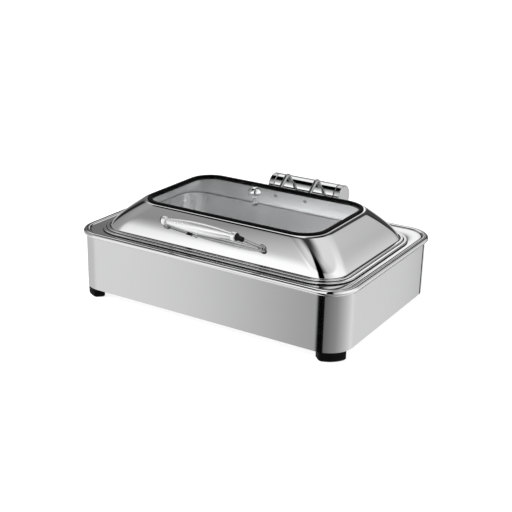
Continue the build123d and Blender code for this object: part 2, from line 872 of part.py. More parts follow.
def element_points():
    rear = lid_y + element_half_width
    front = lid_y - element_half_width
    right = [
        (element_inner, lid_y + element_dip), (element_inner, front),
        (element_half_length, front), (element_half_length, rear),
        (element_terminal, rear), (element_terminal, rear + element_tail),
    ]
    left = [(-x, y) for x, y in reversed(right)]
    return [Vector(x, y, element_z) for x, y in left + right]


def saddle(x, y, radius, along_y):
    """Clip that wraps the underside of a rod lying against the water pan's floor."""
    width = 2 * (radius + clip_wall)
    height = 2 * radius + seat_gap + clip_wall
    centre_z = water_floor - seat_gap - radius
    block = Pos(0, 0, water_floor - height / 2) * Box(clip_length, width, height)
    slot = Pos(0, 0, centre_z) * (Rot(0, 90, 0) * Cylinder(radius + seat_gap, 2 * clip_length))
    slot += Pos(0, 0, centre_z + radius) * Box(2 * clip_length, 2 * (radius + seat_gap), 2 * radius)
    return Pos(x, y, 0) * Rot(0, 0, 90 if along_y else 0) * (block - slot)


def make_element_clips():
    front = lid_y - element_half_width
    rear = lid_y + element_half_width
    clips = []
    for side in (-1, 1):
        clips.append(saddle(side * element_half_length, lid_y, element_radius, True))
        for y, share in zip((rear, front), clip_x_shares):
            clips.append(saddle(side * element_half_length * share, y, element_radius, False))
    return clips


def make_thermal_cutout():
    top = Pos(0, cutout_y, water_floor - cutout_flange_height) * extrude(
        Circle(cutout_flange_radius), cutout_flange_height
    )
    body = Pos(0, cutout_y, water_floor - cutout_height) * extrude(Circle(cutout_radius), cutout_height)
    tab = Pos(0, cutout_y, water_floor - cutout_height) * Box(
        2 * cutout_flange_radius, cutout_radius / 2, cutout_flange_height
    )
    return top + body + tab


def make_heat_shield():
    edge = shield_edge + sheet
    bottom = shield_top - edge
    shield = slab(shield_length, shield_width, shield_corner, bottom, edge, lid_y)
    shield -= slab(
        shield_length - 2 * sheet, shield_width - 2 * sheet, shield_corner - sheet,
        bottom - sheet, edge, lid_y,
    )
    return shield - holes(shield_screw_places(), shield_screw_radius + seat_gap, bottom, 2 * edge)


def make_shield_spacers():
    tube = Circle(spacer_radius) - Circle(shield_screw_radius + seat_gap)
    height = shield_top - sheet - base_top
    return [Pos(p.X, p.Y, base_top) * extrude(tube, height) for p in shield_screw_places()]


def make_shield_screws():
    length = shield_top - base_bottom
    return [
        screw(
            Plane((p.X, p.Y, shield_top)), shield_screw_radius, length,
            shield_screw_head_radius, shield_screw_head_height,
        )
        for p in shield_screw_places()
    ]


# Controls on the rear wall, on a plate that covers an opening in the casing

def make_control_plate():
    plate = block_behind(0, plate_thickness, plate_length, plate_height, plate_corner, plate_front)
    through = plate_thickness + 2 * overrun
    start = plate_front + overrun
    plate -= block_behind(
        switch_x, through, bezel_length - 2 * switch_wall, bezel_height - 2 * switch_wall,
        switch_wall, start,
    )
    plate -= block_behind(
        inlet_x, through, inlet_body_length + 2 * seat_gap, inlet_body_height + 2 * seat_gap,
        inlet_corner, start,
    )
    rounds = [(dial_x, 0, thermostat_shaft_radius + free_gap), (lamp_x, 0, lamp_radius + seat_gap)]
    rounds += [
        (inlet_x + side * inlet_screw_pitch / 2, 0, plate_screw_radius + seat_gap) for side in (-1, 1)
    ]
    for x, z, radius in rounds:
        hole = facing_back(control_x + x, start, control_z + z) * Circle(radius)
        plate -= extrude(hole, -through)
    for x, z in plate_screw_places():
        hole = facing_back(x, start, z) * Circle(plate_screw_radius + seat_gap)
        plate -= extrude(hole, -through)
    return plate


def make_plate_screws():
    return [
        screw(
            facing_back(x, plate_front, z), plate_screw_radius, plate_screw_length,
            plate_screw_head_radius, plate_screw_head_height,
        )
        for x, z in plate_screw_places()
    ]


def make_thermostat_body():
    body = block_behind(
        dial_x, thermostat_depth, thermostat_length, thermostat_height, plate_corner
    )
    bore = facing_back(control_x + dial_x, wall_back, control_z) * Circle(
        thermostat_shaft_radius + running_gap
    )
    return body - extrude(bore, -thermostat_shaft_inside - free_gap)


def make_thermostat_shaft():
    start = wall_back - thermostat_shaft_inside
    end = plate_front + free_gap + dial_bore_depth - seat_gap
    face = facing_back(control_x + dial_x, start, control_z)
    return face * extrude(Circle(thermostat_shaft_radius), end - start)


def make_thermostat_knob():
    knob = extrude(Circle(dial_radius), dial_depth)
    knob = fillet(knob.edges().group_by(Axis.Z)[-1], dial_rounding)
    flute_bottom = dial_depth * flute_start_share
    for flute in PolarLocations(dial_radius + dial_flute_radius / 2, dial_flutes, start_angle=flute_start):
        knob -= Pos(0, 0, flute_bottom) * flute * extrude(Circle(dial_flute_radius), dial_depth)
    pointer = Pos(0, dial_radius / 2, dial_depth) * Box(
        dial_pointer_width, dial_radius, 2 * dial_pointer_depth
    )
    knob -= pointer
    knob -= extrude(Circle(thermostat_shaft_radius + seat_gap), dial_bore_depth)
    return facing_back(control_x + dial_x, plate_front + free_gap, control_z) * knob


def make_thermostat_bulb():
    z = water_floor - seat_gap - bulb_radius
    x = control_x + capillary_x
    y = wall_back - thermostat_depth / 2
    bulb_start = x + 2 * capillary_bend
    points = [
        Vector(x, y, control_z - thermostat_height / 2), Vector(x, y, z), Vector(x, bulb_y, z),
        Vector(bulb_start, bulb_y, z),
    ]
    capillary = tube_along(points, capillary_bend, capillary_radius)
    return capillary + rod(Vector(bulb_start, bulb_y, z), Vector(1, 0, 0), bulb_radius, bulb_length)


def make_bulb_clip():
    x = control_x + capillary_x + 2 * capillary_bend + bulb_length / 2
    return saddle(x, bulb_y, bulb_radius, False)


def make_pilot_lamp():
    face = facing_back(control_x + lamp_x, plate_front, control_z)
    bezel = extrude(Circle(lamp_bezel_radius), lamp_bezel_height)
    bezel = fillet(bezel.edges().group_by(Axis.Z)[-1], lamp_bezel_height / 2)
    lens = extrude(Circle(lamp_radius), lamp_bezel_height + lamp_dome)
    lens = fillet(lens.edges().group_by(Axis.Z)[-1], lamp_dome)
    body = extrude(Circle(lamp_radius), -lamp_depth)
    return face * (bezel + lens + body)


def make_switch_frame():
    frame = block_behind(
        switch_x, bezel_thickness, bezel_length, bezel_height, switch_wall, plate_front + bezel_thickness
    )
    body_length = bezel_length - 2 * (switch_wall + seat_gap)
    body_height = bezel_height - 2 * (switch_wall + seat_gap)
    frame += block_behind(
        switch_x, switch_depth + plate_thickness, body_length, body_height, switch_wall, plate_front
    )
    well_length = rocker_length + free_gap
    well_height = 2 * rocker_half_height + 2 * rocker_thickness * well_room_share
    well_top = plate_front + bezel_thickness + overrun
    well = bezel_thickness + overrun + rocker_well
    frame -= block_behind(switch_x, well, well_length, well_height, switch_wall / 2, well_top)
    pivot = Pos(control_x + switch_x, plate_front - rocker_pivot_depth, control_z)
    bore_length = rocker_length + 2 * (trunnion_length + seat_gap)
    frame -= pivot * (Rot(0, 90, 0) * Cylinder(trunnion_radius + running_gap, bore_length))
    return frame


def make_power_rocker():
    outline = Polyline(
        (-rocker_half_height, rocker_lift), (0, rocker_dip), (rocker_half_height, rocker_lift),
        (rocker_half_height, -rocker_thickness / 2), (-rocker_half_height, -rocker_thickness / 2),
        close=True,
    )
    side_view = Plane((0, 0, 0), x_dir=(0, 0, 1), z_dir=(-1, 0, 0))
    rocker = Pos(rocker_length / 2, 0, 0) * (side_view * extrude(make_face(outline), rocker_length))
    rocker += Rot(0, 90, 0) * Cylinder(trunnion_radius, rocker_length + 2 * trunnion_length)
    pivot = Pos(control_x + switch_x, plate_front - rocker_pivot_depth, control_z)
    return pivot * Rot(rocker_tilt, 0, 0) * rocker


def inlet_pin_places():
    return [(-inlet_pin_pitch, -inlet_pin_rise), (0, inlet_pin_rise), (inlet_pin_pitch, -inlet_pin_rise)]


def make_power_inlet():
    inlet = block_behind(
        inlet_x, inlet_flange_thickness, inlet_flange_length, inlet_flange_height, inlet_corner,
        plate_front + inlet_flange_thickness,
    )
    inlet += block_behind(
        inlet_x, inlet_depth + plate_thickness, inlet_body_length, inlet_body_height, inlet_corner,
        plate_front,
    )
    well_top = plate_front + inlet_flange_thickness + overrun
    inlet -= block_behind(
        inlet_x, inlet_well + overrun, inlet_body_length - 2 * inlet_wall,
        inlet_body_height - 2 * inlet_wall, inlet_wall, well_top,
    )
    for x, z in inlet_pin_places():
        slot = facing_back(control_x + inlet_x + x, well_top, control_z + z) * Rectangle(
            inlet_pin_thickness + 2 * seat_gap, inlet_pin_width + 2 * seat_gap
        )
        inlet -= extrude(slot, -2 * inlet_depth)
    for side in (-1, 1):
        hole = facing_back(control_x + inlet_x + side * inlet_screw_pitch / 2, well_top, control_z)
        inlet -= extrude(hole * Circle(plate_screw_radius + seat_gap), -2 * inlet_depth)
    return inlet


def make_inlet_pins():
    floor = plate_front + inlet_flange_thickness - inlet_well
    tail = wall_back - inlet_depth - inlet_pin_tail
    pins = []
    for x, z in inlet_pin_places():
        face = facing_back(control_x + inlet_x + x, tail, control_z + z)
        blade = Rectangle(inlet_pin_thickness, inlet_pin_width)
        pins.append(extrude(face * blade, floor + inlet_pin_reach - tail))
    return pins


def make_inlet_screws():
    return [
        screw(
            facing_back(
                control_x + inlet_x + side * inlet_screw_pitch / 2,
                plate_front + inlet_flange_thickness, control_z,
            ),
            plate_screw_radius, plate_screw_length + inlet_flange_thickness,
            plate_screw_head_radius, plate_screw_head_height,
        )
        for side in (-1, 1)
    ]


def make_terminal_block():
    middle = base_top + block_height / 2
    block = Pos(block_x, block_y, middle) * Box(block_length, block_width, block_height)
    groove = Box(block_groove, block_width - 2 * block_groove, 2 * block_groove)
    for step in (1, 2, 3):
        x = block_x - block_length / 2 + step * block_length / 4
        block -= Pos(x, block_y, base_top + block_height) * groove
    return block


def make_wiring():
    """Wires between the inlet, terminal block, switch, thermostat and element, each its own solid."""
    tail_y = wall_back - inlet_depth - inlet_pin_tail
    pins = inlet_pin_places()
    inlet_centre = control_x + inlet_x
    block_right = block_x + block_length / 2
    block_left = block_x - block_length / 2
    block_middle = base_top + block_height / 2
    element_end = lid_y + element_half_width + element_tail
    thermostat_x = control_x + dial_x
    thermostat_back = wall_back - thermostat_depth
    low = base_top + block_height / 3
    high = control_z - thermostat_height / 2
    between = high - 2 * wire_bend
    ahead = block_y - block_width / 4
    switch_centre = control_x + switch_x
    switch_back = wall_back - switch_depth
    switch_bottom = control_z - bezel_height / 2 + switch_wall + seat_gap
    routes = []
    for (x, z), height, lane in ((pins[0], low, 0), (pins[2], block_middle, 2 * wire_radius + free_gap)):
        start = Vector(inlet_centre + x, tail_y, control_z + z)
        lane_y = wire_lane - lane
        routes.append([
            start, Vector(start.X, lane_y, start.Z), Vector(start.X, lane_y, height),
            Vector(block_right + 2 * wire_bend, block_y, height), Vector(block_right, block_y, height),
        ])
    earth = Vector(inlet_centre, tail_y, control_z + pins[1][1])
    earth_lane = tail_y - 2 * wire_bend
    routes.append([earth, Vector(earth.X, earth_lane, earth.Z), Vector(earth.X, earth_lane, base_top)])
    routes.append([
        Vector(block_left, ahead, low), Vector(element_terminal, ahead, low),
        Vector(element_terminal, element_end + 4 * wire_bend, element_z),
        Vector(element_terminal, element_end, element_z),
    ])
    routes.append([
        Vector(thermostat_x, block_y + wire_bend, high), Vector(thermostat_x, block_y + wire_bend, between),
        Vector(-element_terminal, block_y + wire_bend, between),
        Vector(-element_terminal, element_end + 4 * wire_bend, element_z),
        Vector(-element_terminal, element_end, element_z),
    ])
    routes.append([
        Vector(switch_centre, switch_back, control_z), Vector(switch_centre, wire_lane, control_z),
        Vector(thermostat_x, wire_lane - free_gap, control_z),
        Vector(thermostat_x, thermostat_back, control_z),
    ])
    routes.append([
        Vector(switch_centre - wire_bend, block_y + wire_bend, base_top + block_height),
        Vector(switch_centre - wire_bend, block_y + wire_bend, switch_bottom),
    ])
    return [tube_along(points, wire_bend * wire_bend_share, wire_radius) for points in routes]


# Base body
save("outer_casing", make_outer_casing())
save("base_plate", make_base_plate())
save("base_screws", *make_base_screws())
for end, sy in (("front", -1), ("rear", 1)):
    for hand, sx in (("left", -1), ("right", 1)):
        save(f"foot_{end}_{hand}", make_foot(sx, sy))
save("foot_screws", *make_foot_screws())
save("deck_frame", make_deck_frame())
save("water_pan", make_pan(water_length, water_width, water_corner, water_pan_depth, deck_top))
save("food_pan", make_pan(mouth_length, mouth_width, mouth_corner, food_pan_depth, water_rim_top))
save("heating_element", tube_along(element_points(), element_bend, element_radius))
save("element_clips", *make_element_clips())
save("thermal_cutout", make_thermal_cutout())
save("heat_shield", make_heat_shield())
save("shield_spacers", *make_shield_spacers())
save("shield_screws", *make_shield_screws())
save("control_plate", make_control_plate())
save("control_plate_screws", *make_plate_screws())
save("thermostat_body", make_thermostat_body())
save("thermostat_bulb", make_thermostat_bulb())
save("bulb_clip", make_bulb_clip())
save("pilot_lamp", make_pilot_lamp())
save("switch_frame", make_switch_frame())
save("power_inlet", make_power_inlet())
save("inlet_pins", *make_inlet_pins())
save("inlet_screws", *make_inlet_screws())
save("terminal_block", make_terminal_block())
save("wiring", *make_wiring())
save("hinge_shaft", make_hinge_shaft())
save("damper_rotor", make_damper_rotor())
save("hinge_stand_screws", *make_stand_screws())
save("hinge_stand_nuts", *make_stand_nuts())
for hand, side in (("left", -1), ("right", 1)):
    save(f"hinge_stand_{hand}", make_hinge_stand(side))

# Turning controls
save("thermostat_knob", make_thermostat_knob())
save("thermostat_shaft", make_thermostat_shaft())
save("power_rocker", make_power_rocker())

# Lid body
front_axes, rear_axes = lid_bolt_axes()
save("lid_shell", make_lid_shell())
save("window_glass", make_window_glass())
save("window_gasket", make_window_gasket())
save("knob_ball", make_knob_ball())
save("knob_washers", *make_knob_washers())
save("knob_screw", make_knob_screw())
save("handle_grip", make_handle_grip())
save("handle_bolts", *[lid_bolt(point, normal, eyelet_thickness - sheet) for point, normal in front_axes])
save("arm_bolts", *[lid_bolt(point, normal, bolt_depth) for point, normal in rear_axes])
save("hinge_barrel", make_hinge_barrel())
save("damper_housing", make_damper_housing())
for hand, side in (("left", -1), ("right", 1)):
    save(f"handle_ferrule_{hand}", make_ferrule(side))
    save(f"handle_leg_{hand}", make_handle_leg(side))
    save(f"hinge_bush_{hand}", make_hinge_bush(side))
    save(f"lid_arm_{hand}", make_lid_arm(side))
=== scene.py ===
import math

import bpy
from mathutils import Matrix, Vector


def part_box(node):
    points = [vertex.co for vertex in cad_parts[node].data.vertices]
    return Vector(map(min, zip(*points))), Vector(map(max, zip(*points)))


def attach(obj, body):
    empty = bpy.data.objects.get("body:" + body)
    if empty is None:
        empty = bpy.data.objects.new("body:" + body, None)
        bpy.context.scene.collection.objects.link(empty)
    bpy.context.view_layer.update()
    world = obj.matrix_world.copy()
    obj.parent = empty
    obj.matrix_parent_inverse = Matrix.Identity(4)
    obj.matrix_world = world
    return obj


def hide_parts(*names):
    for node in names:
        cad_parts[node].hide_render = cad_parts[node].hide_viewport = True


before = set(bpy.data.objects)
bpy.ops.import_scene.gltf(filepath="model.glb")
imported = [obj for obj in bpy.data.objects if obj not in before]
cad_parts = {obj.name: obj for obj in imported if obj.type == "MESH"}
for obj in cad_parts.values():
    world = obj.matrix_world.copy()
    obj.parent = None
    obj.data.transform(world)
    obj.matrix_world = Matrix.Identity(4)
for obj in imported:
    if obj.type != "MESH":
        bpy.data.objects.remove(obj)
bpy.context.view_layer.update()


# Outer casing
# One sheet of stainless steel, bent round four upright corners and welded at the back.
# It is satin finished, with fine polishing lines that run level round the walls.

def add_node(tree, kind, **inputs):
    """Add a node and set its plain input values by socket name."""
    node = tree.nodes.new(kind)
    for name, value in inputs.items():
        node.inputs[name.replace("_", " ")].default_value = value
    return node


def math_node(tree, operation, *values):
    """One step of arithmetic on plain numbers and on other nodes' outputs."""
    node = tree.nodes.new("ShaderNodeMath")
    node.operation = operation
    for socket, value in zip(node.inputs, values):
        if isinstance(value, float):
            socket.default_value = value
        else:
            tree.links.new(value, socket)
    return node.outputs[0]


def mixed_color(tree, factor, first, second):
    """A blend of two colours, each a plain colour or another node's output."""
    mix = tree.nodes.new("ShaderNodeMix")
    mix.data_type = "RGBA"
    tree.links.new(factor, mix.inputs["Factor"])
    for name, color in (("A", first), ("B", second)):
        if isinstance(color, tuple):
            mix.inputs[name].default_value = color
        else:
            tree.links.new(color, mix.inputs[name])
    return mix.outputs["Result"]


def new_group(name, inputs):
    """Start a shader node group that gives a surface its colour, roughness and height."""
    group = bpy.data.node_groups.new(name, "ShaderNodeTree")
    for label, kind, default in inputs:
        socket = group.interface.new_socket(label, in_out="INPUT", socket_type=kind)
        if default is not None:
            socket.default_value = default
    for label, kind in (("Color", "Color"), ("Roughness", "Float"), ("Height", "Float")):
        group.interface.new_socket(label, in_out="OUTPUT", socket_type="NodeSocket" + kind)
    return group, group.nodes.new("NodeGroupInput").outputs, group.nodes.new("NodeGroupOutput").inputs


def polishing_lines_group():
    """Fine lines left by a polishing belt, with a slow cloudiness under them."""
    group, given, result = new_group("polishing_lines", [
        ("Vector", "NodeSocketVector", None),
        ("Stretch", "NodeSocketVector", (6.0, 6.0, 900.0)),
        ("Roughness", "NodeSocketFloat", 0.2),
        ("Spread", "NodeSocketFloat", 0.08),
        ("Dark", "NodeSocketColor", (0.5, 0.5, 0.5, 1.0)),
        ("Light", "NodeSocketColor", (0.7, 0.7, 0.7, 1.0)),
    ])
    link = group.links.new
    stretch = add_node(group, "ShaderNodeVectorMath")
    stretch.operation = "MULTIPLY"
    link(given["Vector"], stretch.inputs[0])
    link(given["Stretch"], stretch.inputs[1])
    lines = add_node(group, "ShaderNodeTexNoise", Scale=1.0, Detail=3.0, Roughness=0.6)
    link(stretch.outputs[0], lines.inputs["Vector"])
    clouds = add_node(group, "ShaderNodeTexNoise", Scale=9.0, Detail=2.0, Roughness=0.5)
    link(given["Vector"], clouds.inputs["Vector"])
    both = add_node(group, "ShaderNodeMix", Factor=0.45)
    link(lines.outputs["Fac"], both.inputs["A"])
    link(clouds.outputs["Fac"], both.inputs["B"])
    both = both.outputs["Result"]
    shift = math_node(group, "SUBTRACT", both, 0.5)
    rough = math_node(group, "MULTIPLY_ADD", shift, given["Spread"], given["Roughness"])
    link(mixed_color(group, both, given["Dark"], given["Light"]), result["Color"])
    link(rough, result["Roughness"])
    link(lines.outputs["Fac"], result["Height"])
    return group


def start_material(name):
    """A fresh node material with one Principled shader."""
    material = bpy.data.materials.new(name)
    material.use_nodes = True
    return material, material.node_tree, material.node_tree.nodes["Principled BSDF"]


def add_bump(tree, shader, height, strength, distance):
    """Raise the surface by a texture's height, in metres."""
    bump = add_node(tree, "ShaderNodeBump", Strength=strength, Distance=distance)
    tree.links.new(height, bump.inputs["Height"])
    tree.links.new(bump.outputs["Normal"], shader.inputs["Normal"])


def textured(name, group, bump, settings):
    """A material whose colour, roughness and bump come from one node group."""
    material, tree, shader = start_material(name)
    place = add_node(tree, "ShaderNodeTexCoord")
    texture = tree.nodes.new("ShaderNodeGroup")
    texture.node_tree = group
    for label, value in settings.items():
        texture.inputs[label].default_value = value
    tree.links.new(place.outputs["Object"], texture.inputs["Vector"])
    tree.links.new(texture.outputs["Color"], shader.inputs["Base Color"])
    tree.links.new(texture.outputs["Roughness"], shader.inputs["Roughness"])
    add_bump(tree, shader, texture.outputs["Height"], bump, 0.0002)
    return material, shader


polishing_lines = polishing_lines_group()


def steel(name, dark, light, roughness, spread, stretch, bump, metal=1.0):
    """Stainless steel with polishing lines; stretch says which way the lines run."""
    material, shader = textured(name, polishing_lines, bump, {
        "Stretch": stretch, "Roughness": roughness, "Spread": spread,
        "Dark": (*dark, 1.0), "Light": (*light, 1.0),
    })
    shader.inputs["Metallic"].default_value = metal
    return material


def finish_nodes(material, *names):
    """Give CAD nodes their material in every slot."""
    for name in names:
        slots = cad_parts[name].data.materials
        slots.clear()
        slots.append(material)


satin_steel = steel(
    "satin_steel", (0.64, 0.64, 0.645), (0.70, 0.70, 0.705), 0.085, 0.04, (8.0, 8.0, 1500.0), 0.02
)
finish_nodes(satin_steel, "outer_casing")


# Base plate and its screws
# A flat sheet that closes the casing from below, left with the mill's dull finish.
# It lies on the casing's turned-in flange and is held by round-headed screws.

mill_steel = steel(
    "mill_steel", (0.42, 0.42, 0.43), (0.56, 0.56, 0.57), 0.38, 0.16, (900.0, 10.0, 10.0), 0.08
)
plated_steel = steel(
    "plated_steel", (0.50, 0.51, 0.52), (0.68, 0.69, 0.70), 0.26, 0.2, (300.0, 300.0, 300.0), 0.05
)
finish_nodes(mill_steel, "base_plate")
finish_nodes(plated_steel, "base_screws")


# Feet and their screws
# Black moulded rubber pads that follow the casing's corners and end bluntly, each held by one
# screw in a recess from below. The rear pair stands further in, on the base plate.

def moulded_grain_group():
    """Fine pebble grain of moulded plastic or rubber, with dusty patches."""
    group, given, result = new_group("moulded_grain", [
        ("Vector", "NodeSocketVector", None),
        ("Scale", "NodeSocketFloat", 2500.0),
        ("Roughness", "NodeSocketFloat", 0.5),
        ("Dark", "NodeSocketColor", (0.01, 0.01, 0.01, 1.0)),
        ("Light", "NodeSocketColor", (0.03, 0.03, 0.03, 1.0)),
    ])
    link = group.links.new
    grain = add_node(group, "ShaderNodeTexVoronoi")
    link(given["Vector"], grain.inputs["Vector"])
    link(given["Scale"], grain.inputs["Scale"])
    dust = add_node(group, "ShaderNodeTexNoise", Scale=60.0, Detail=4.0)
    link(given["Vector"], dust.inputs["Vector"])
    dust = dust.outputs["Fac"]
    rough = math_node(group, "MULTIPLY_ADD", dust, 0.15, given["Roughness"])
    link(mixed_color(group, dust, given["Dark"], given["Light"]), result["Color"])
    link(rough, result["Roughness"])
    link(grain.outputs["Distance"], result["Height"])
    return group


moulded_grain = moulded_grain_group()


def moulded(name, dark, light, roughness, scale, bump, specular=0.5):
    """Moulded plastic or rubber; scale sets how fine the grain is."""
    material, shader = textured(name, moulded_grain, bump, {
        "Scale": scale, "Roughness": roughness, "Dark": (*dark, 1.0), "Light": (*light, 1.0),
    })
    shader.inputs["Specular IOR Level"].default_value = specular
    return material


def eased(first, bend, last, steps=6):
    """Points or stations of a small rounded bend between two others."""
    return [
        tuple((1 - t) ** 2 * a + 2 * t * (1 - t) * b + t * t * c for a, b, c in zip(first, bend, last))
        for t in (step / steps for step in range(steps + 1))
    ]


def foot_outline(inset):
    """Points round a pad, outwards and along it from its corner's middle: arc, ends and back."""
    radius, back, rounding = 0.0476 - inset, 0.0195 + inset, 0.0035
    side, front = -0.0218 + inset, 0.0276 - inset
    side_edge, front_edge = math.sqrt(radius ** 2 - side ** 2), math.sqrt(radius ** 2 - front ** 2)
    arc = []
    for step in range(25):
        along = side + rounding + (front - side - 2 * rounding) * step / 24
        arc.append((math.sqrt(radius ** 2 - along ** 2), along))
    points = arc[1:-1]
    points += eased(arc[-1], (front_edge, front), (front_edge - rounding, front))
    points += eased((back + rounding, front), (back, front), (back, front - rounding))
    points += [(back, front + (side - front) * step / 12) for step in range(2, 11)]
    points += eased((back, side + rounding), (back, side), (back + rounding, side))
    points += eased((side_edge - rounding, side), (side_edge, side), arc[0])
    return points


def new_piece(name, points, faces):
    """A mesh object of its own, put in the scene."""
    mesh = bpy.data.meshes.new(name)
    mesh.from_pydata(points, [], faces)
    piece = bpy.data.objects.new(name, mesh)
    bpy.context.scene.collection.objects.link(piece)
    return piece


def ring_piece(name, rings):
    """A closed skin of quads over rings of points, smooth but for real creases."""
    count = len(rings[0])
    faces = []
    for ring in range(len(rings)):
        here, there = ring * count, (ring + 1) % len(rings) * count
        for k in range(count):
            after = (k + 1) % count
            faces.append((here + k, here + after, there + after, there + k))
    piece = new_piece(name, [point for ring in rings for point in ring], faces)
    piece.data.shade_smooth()
    piece.data.set_sharp_from_angle(angle=math.radians(35.0))
    return piece


casing_middle = -0.013567
foot_rubber = moulded(
    "foot_rubber", (0.001, 0.001, 0.001), (0.004, 0.004, 0.004), 0.45, 1800.0, 0.2, 0.06
)


def foot_pad(name, node, sx, sy, corner, height):
    """A pad with its lower edge chamfered and a recess from below for its screw."""
    chamfer, recess, hole_radius, recess_radius = 0.0022, 0.007, 0.0022, 0.0043
    screw = Vector((0.0339, 0.0051))
    outer, lower = foot_outline(0.0), foot_outline(chamfer)
    away = [(Vector(point) - screw).normalized() for point in outer]
    hole = [aim * hole_radius + screw for aim in away]
    wide = [aim * recess_radius + screw for aim in away]
    levels = [(lower, 0.0), (outer, chamfer), (outer, height), (hole, height)]
    levels += [(hole, recess), (wide, recess), (wide, 0.0)]
    slant = math.sqrt(0.5)
    rings = []
    for outline, z in levels:
        ring = []
        for out, along in outline if sx * sy > 0 else reversed(outline):
            x, y = corner[0] + (out - along) * slant, corner[1] + (out + along) * slant
            ring.append((sx * x, sy * y + casing_middle, z))
        rings.append(ring)
    pad = ring_piece(name, rings)
    pad.data.materials.append(foot_rubber)
    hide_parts(node)
    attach(pad, "base")
    finish_nodes(foot_rubber, node)


front_corner, rear_corner = (0.2375, 0.1435), (0.2075, 0.1135)
front_height, rear_height = 0.018, 0.019
foot_pad("pad_front_left", "foot_front_left", -1, -1, front_corner, front_height)
foot_pad("pad_front_right", "foot_front_right", 1, -1, front_corner, front_height)
foot_pad("pad_rear_left", "foot_rear_left", -1, 1, rear_corner, rear_height)
foot_pad("pad_rear_right", "foot_rear_right", 1, 1, rear_corner, rear_height)
finish_nodes(plated_steel, "foot_screws")


# Deck frame
# A pressed frame of polished stainless steel that carries the pans. Its edge is rolled into a
# lip over the casing, and the two grooves beside the lip are painted near black as painted shade.

def rounded_loop(length, width, corner, z, shift=0.0):
    """Points round a rectangle with rounded corners, its middle shifted to the front or back."""
    corner_steps, long_steps, short_steps = 30, 36, 24
    points = []
    for quarter, (sx, sy) in enumerate(((1, 1), (-1, 1), (-1, -1), (1, -1))):
        middle = Vector((sx * (length / 2 - corner), sy * (width / 2 - corner) + shift, z))
        for step in range(corner_steps + 1):
            angle = math.radians(90.0 * (quarter + step / corner_steps))
            points.append(middle + Vector((math.cos(angle), math.sin(angle), 0.0)) * corner)
        ahead = Vector((math.cos(angle + math.pi / 2), math.sin(angle + math.pi / 2), 0.0))
        side, steps = (width, short_steps) if quarter % 2 else (length, long_steps)
        run, start = side - 2 * corner, points[-1]
        points += [start + ahead * (run * step / steps) for step in range(1, steps)]
    return points


def groove(first, last, depth):
    """Stations of a narrow pressed groove from one edge to the other."""
    bottom = tuple((a + b) / 2 for a, b in zip(first, last))
    return [first, (*bottom[:3], bottom[3] - depth, *bottom[4:]), last]


casing_length, casing_width, casing_corner = 0.572, 0.384, 0.0485
opening_length, opening_width, opening_corner = 0.5149, 0.3099, 0.05245
opening_shift, opening_drop, skirt_drop, deck_sheet = -0.0075, 0.007, 0.011, 0.001
lip_bottom, lip_middle, lip_top, lip_radius, deck_level = 0.1227, 0.1279, 0.1331, 0.0052, 0.1305


def rim_station(reach, z):
    """A ring parallel to the casing's wall, reach outside it."""
    return casing_length + 2 * reach, casing_width + 2 * reach, casing_corner + reach, z, 0.0


def opening_station(reach, z):
    """A ring parallel to the edge of the pans' opening, reach outside it."""
    length, width = opening_length + 2 * reach, opening_width + 2 * reach
    return length, width, opening_corner + reach, z, opening_shift


def roll_station(middle, degrees):
    """A ring on the lip's round section, whose middle stands this far outside the wall."""
    turn = math.radians(degrees)
    return rim_station(middle + lip_radius * math.cos(turn), lip_middle + lip_radius * math.sin(turn))


def deck_stations():
    """Rings from the lip's underside over its roll, across the deck and back under it."""
    rings = [rim_station(-0.0010, lip_bottom)]
    rings += [roll_station(0.0006, -90.0 + 15.0 * step) for step in range(13)]
    folds = [len(rings), len(rings) + 1]
    rings += groove(rim_station(-0.0002, lip_top), rim_station(-0.0020, lip_top), 0.0012)
    rings += [roll_station(-0.0028, 90.0 + 10.0 * step) for step in range(7)]
    folds += [len(rings), len(rings) + 1]
    rings += groove(rim_station(-0.0072, deck_level), rim_station(-0.0088, deck_level), 0.0008)
    rings += [
        opening_station(0.0012, deck_level), opening_station(0.0002, deck_level - 0.0003),
        opening_station(0.0, deck_level - 0.0012), opening_station(0.0, deck_level - opening_drop),
        opening_station(deck_sheet, deck_level - opening_drop),
        opening_station(deck_sheet, deck_level - deck_sheet),
        rim_station(-0.0090, deck_level - deck_sheet), rim_station(-0.0022, lip_bottom + deck_sheet),
        rim_station(-0.0022, lip_bottom - skirt_drop), rim_station(-0.0011, lip_bottom - skirt_drop),
    ]
    return rings, folds


def finish_rings(piece, materials, choice):
    """Give a piece its materials; choice says which of them each ring of faces takes."""
    count = len(piece.data.polygons) // len(choice)
    for material in materials:
        piece.data.materials.append(material)
    for face in piece.data.polygons:
        face.material_index = choice[face.index // count]


polished_steel = steel(
    "polished_steel", (0.80, 0.80, 0.805), (0.86, 0.86, 0.865), 0.025, 0.02, (700.0, 8.0, 8.0), 0.001
)
# painted shade: a near-black colour for grooves and folds, standing in for the shade that falls in
# them
painted_crease_shade = moulded(
    "painted_crease_shade", (0.006, 0.006, 0.006), (0.02, 0.02, 0.02), 0.5, 900.0, 0.1, 0.2
)
deck_rings, deck_shaded_folds = deck_stations()
deck_rim = ring_piece("deck_rim", [rounded_loop(*station) for station in deck_rings])
deck_rim.location = (0.0, casing_middle, 0.0)
# the faces of the two grooves beside the lip take the painted shade
deck_choice = [int(ring in deck_shaded_folds) for ring in range(len(deck_rings))]
finish_rings(deck_rim, (polished_steel, painted_crease_shade), deck_choice)
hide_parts("deck_frame")
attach(deck_rim, "base")
finish_nodes(polished_steel, "deck_frame")


# Pans
# Drawn trays of stainless steel that hang by their rims, the food pan inside the water pan.
# The press leaves them bright, with lines drawn up the walls.

pan_steel = steel(
    "pan_steel", (0.84, 0.84, 0.845), (0.90, 0.90, 0.905), 0.26, 0.04, (500.0, 500.0, 12.0), 0.002,
    0.92
)
finish_nodes(pan_steel, "water_pan", "food_pan")


